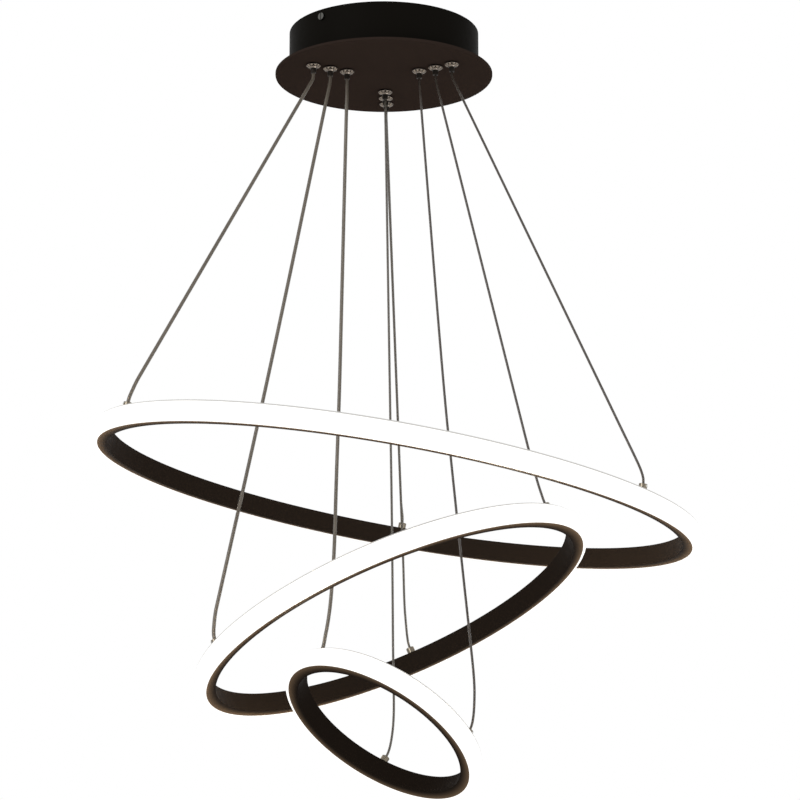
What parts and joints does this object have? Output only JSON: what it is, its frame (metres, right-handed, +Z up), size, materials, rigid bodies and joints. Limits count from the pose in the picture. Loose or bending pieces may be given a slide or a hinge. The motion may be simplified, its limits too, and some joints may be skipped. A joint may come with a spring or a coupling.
{
  "type": "led ring chandelier",
  "caption": "Round ceiling canopy from which light rings of falling size hang one under another, each tilted its own way on thin wires held by cable grips.",
  "frame": {"origin": "middle of the ceiling strap's upper face, on the ceiling plane and the canopy's axis", "axes": "+Z up, against the ceiling; -Y towards the viewer of the picture; +X to the viewer's right"},
  "size_m": [0.5934, 0.6002, 0.7736],
  "materials": {
    "canopy_paint": "dark brown satin paint",
    "zinc_steel": "zinc-plated steel",
    "chrome": "polished chrome",
    "nose_metal": "dark plated brass",
    "ring_metal": "dark brown anodised aluminium",
    "opal": "opal white, lit from behind",
    "strip_white": "white strip with yellowish chips",
    "driver_plastic": "white moulded case",
    "board_green": "green circuit board",
    "terminal_plastic": "natural polyamide",
    "lead_sheath": "black sheath",
    "supply_cable": "clear sheath over two tinned cores",
    "steel_cable": "steel strands in a clear sheath",
    "spring_steel": "bright spring wire",
    "foam": "grey foam tape"
  },
  "bodies": {
    "canopy": {"ceiling_bracket": "zinc_steel", "canopy_drum": "canopy_paint", "canopy_plate": "canopy_paint", "plate_screws": "zinc_steel", "side_screws": "zinc_steel", "earth_screw": "zinc_steel", "large_driver": "driver_plastic", "medium_driver": "driver_plastic", "small_driver": "driver_plastic", "driver_pads": "foam", "driver_boards": "board_green", "terminal_block": "terminal_plastic", "terminal_screws": "zinc_steel", "driver_leads": "lead_sheath", "grip_barrels": "chrome", "grip_nuts": "chrome", "grip_springs": "spring_steel", "wire_tails": "supply_cable", "tail_stops": "zinc_steel"},
    "large_ring": {"large_wire_left": "supply_cable", "large_wire_right": "steel_cable", "large_wire_back": "steel_cable", "large_channel": "ring_metal", "large_diffuser": "opal", "large_strip": "strip_white", "large_splice": "zinc_steel", "large_studs": "chrome", "large_stud_nuts": "zinc_steel", "large_set_screws": "zinc_steel"},
    "medium_ring": {"medium_wire_left": "supply_cable", "medium_wire_right": "steel_cable", "medium_wire_back": "steel_cable", "medium_channel": "ring_metal", "medium_diffuser": "opal", "medium_strip": "strip_white", "medium_splice": "zinc_steel", "medium_studs": "chrome", "medium_stud_nuts": "zinc_steel", "medium_set_screws": "zinc_steel"},
    "small_ring": {"small_wire_left": "supply_cable", "small_wire_right": "steel_cable", "small_wire_back": "steel_cable", "small_channel": "ring_metal", "small_diffuser": "opal", "small_strip": "strip_white", "small_splice": "zinc_steel", "small_studs": "chrome", "small_stud_nuts": "zinc_steel", "small_set_screws": "zinc_steel"},
    "large_left_nose": {"release_nose_large_left": "nose_metal"},
    "large_right_nose": {"release_nose_large_right": "nose_metal"},
    "large_back_nose": {"release_nose_large_back": "nose_metal"},
    "medium_left_nose": {"release_nose_medium_left": "nose_metal"},
    "medium_right_nose": {"release_nose_medium_right": "nose_metal"},
    "medium_back_nose": {"release_nose_medium_back": "nose_metal"},
    "small_left_nose": {"release_nose_small_left": "nose_metal"},
    "small_right_nose": {"release_nose_small_right": "nose_metal"},
    "small_back_nose": {"release_nose_small_back": "nose_metal"}
  },
  "joints": [
    {"name": "large_ring_height", "type": "slide", "parent": "canopy", "child": "large_ring", "axis": [0, 0, 1], "range_m": [-0.05, 0.15], "deforming": ["large_wire_left", "large_wire_right", "large_wire_back"]},
    {"name": "medium_ring_height", "type": "slide", "parent": "canopy", "child": "medium_ring", "axis": [0, 0, 1], "range_m": [-0.05, 0.15], "deforming": ["medium_wire_left", "medium_wire_right", "medium_wire_back"]},
    {"name": "small_ring_height", "type": "slide", "parent": "canopy", "child": "small_ring", "axis": [0, 0, 1], "range_m": [-0.05, 0.15], "deforming": ["small_wire_left", "small_wire_right", "small_wire_back"]},
    {"name": "large_left_release", "type": "slide", "parent": "canopy", "child": "large_left_nose", "axis": [0, 0, 1], "range_m": [0, 0.002], "stiffness_N_per_m": 400, "springref_m": -0.001, "deforming": ["grip_springs"]},
    {"name": "large_right_release", "type": "slide", "parent": "canopy", "child": "large_right_nose", "axis": [0, 0, 1], "range_m": [0, 0.002], "stiffness_N_per_m": 400, "springref_m": -0.001, "deforming": ["grip_springs"]},
    {"name": "large_back_release", "type": "slide", "parent": "canopy", "child": "large_back_nose", "axis": [0, 0, 1], "range_m": [0, 0.002], "stiffness_N_per_m": 400, "springref_m": -0.001, "deforming": ["grip_springs"]},
    {"name": "medium_left_release", "type": "slide", "parent": "canopy", "child": "medium_left_nose", "axis": [0, 0, 1], "range_m": [0, 0.002], "stiffness_N_per_m": 400, "springref_m": -0.001, "deforming": ["grip_springs"]},
    {"name": "medium_right_release", "type": "slide", "parent": "canopy", "child": "medium_right_nose", "axis": [0, 0, 1], "range_m": [0, 0.002], "stiffness_N_per_m": 400, "springref_m": -0.001, "deforming": ["grip_springs"]},
    {"name": "medium_back_release", "type": "slide", "parent": "canopy", "child": "medium_back_nose", "axis": [0, 0, 1], "range_m": [0, 0.002], "stiffness_N_per_m": 400, "springref_m": -0.001, "deforming": ["grip_springs"]},
    {"name": "small_left_release", "type": "slide", "parent": "canopy", "child": "small_left_nose", "axis": [0, 0, 1], "range_m": [0, 0.002], "stiffness_N_per_m": 400, "springref_m": -0.001, "deforming": ["grip_springs"]},
    {"name": "small_right_release", "type": "slide", "parent": "canopy", "child": "small_right_nose", "axis": [0, 0, 1], "range_m": [0, 0.002], "stiffness_N_per_m": 400, "springref_m": -0.001, "deforming": ["grip_springs"]},
    {"name": "small_back_release", "type": "slide", "parent": "canopy", "child": "small_back_nose", "axis": [0, 0, 1], "range_m": [0, 0.002], "stiffness_N_per_m": 400, "springref_m": -0.001, "deforming": ["grip_springs"]}
  ]
}
